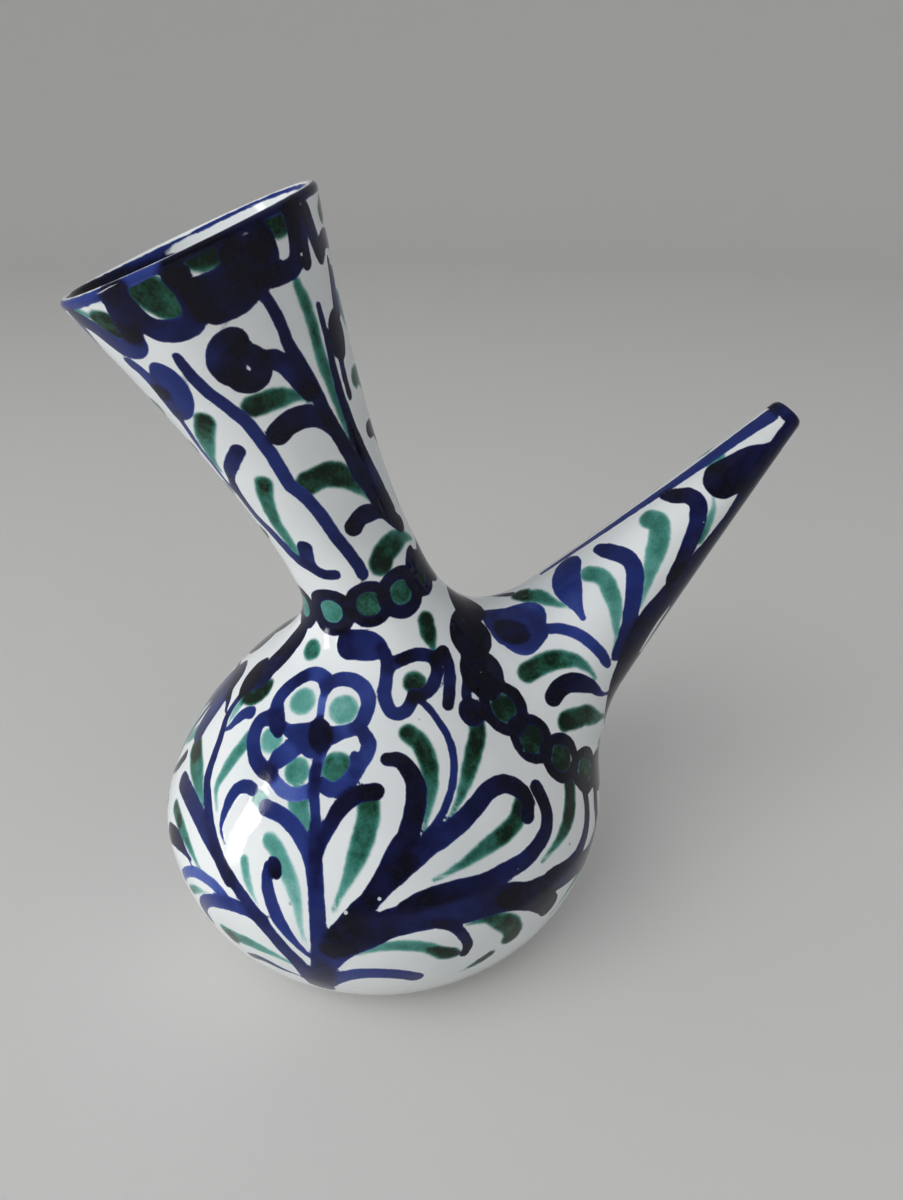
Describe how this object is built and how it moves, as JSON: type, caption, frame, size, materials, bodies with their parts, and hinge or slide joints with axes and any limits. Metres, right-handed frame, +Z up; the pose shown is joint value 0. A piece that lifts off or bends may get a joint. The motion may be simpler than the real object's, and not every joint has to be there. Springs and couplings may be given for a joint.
{
  "type": "porron",
  "caption": "Glazed earthenware wine pitcher with a round belly, a leaning flared filling neck and a tapered pouring spout, painted with a folk leaf and flower pattern.",
  "frame": {"origin": "centre of the flat base, on the belly's axis, at table height", "axes": "+Z up along the belly's axis; the neck leans to -X and the spout to +X; y = 0 is the plane of symmetry"},
  "size_m": [0.1717, 0.12, 0.191],
  "materials": {
    "belly_glaze": "white tin glaze with blue and green brush painting",
    "neck_glaze": "white tin glaze with blue and green brush painting",
    "spout_glaze": "white tin glaze with blue and green brush painting",
    "collar_glaze": "white tin glaze with a chain of blue rings and green dots"
  },
  "bodies": {
    "root": {"belly": "belly_glaze", "neck": "neck_glaze", "spout": "spout_glaze", "neck_collar": "collar_glaze", "spout_collar": "collar_glaze"}
  },
  "joints": []
}
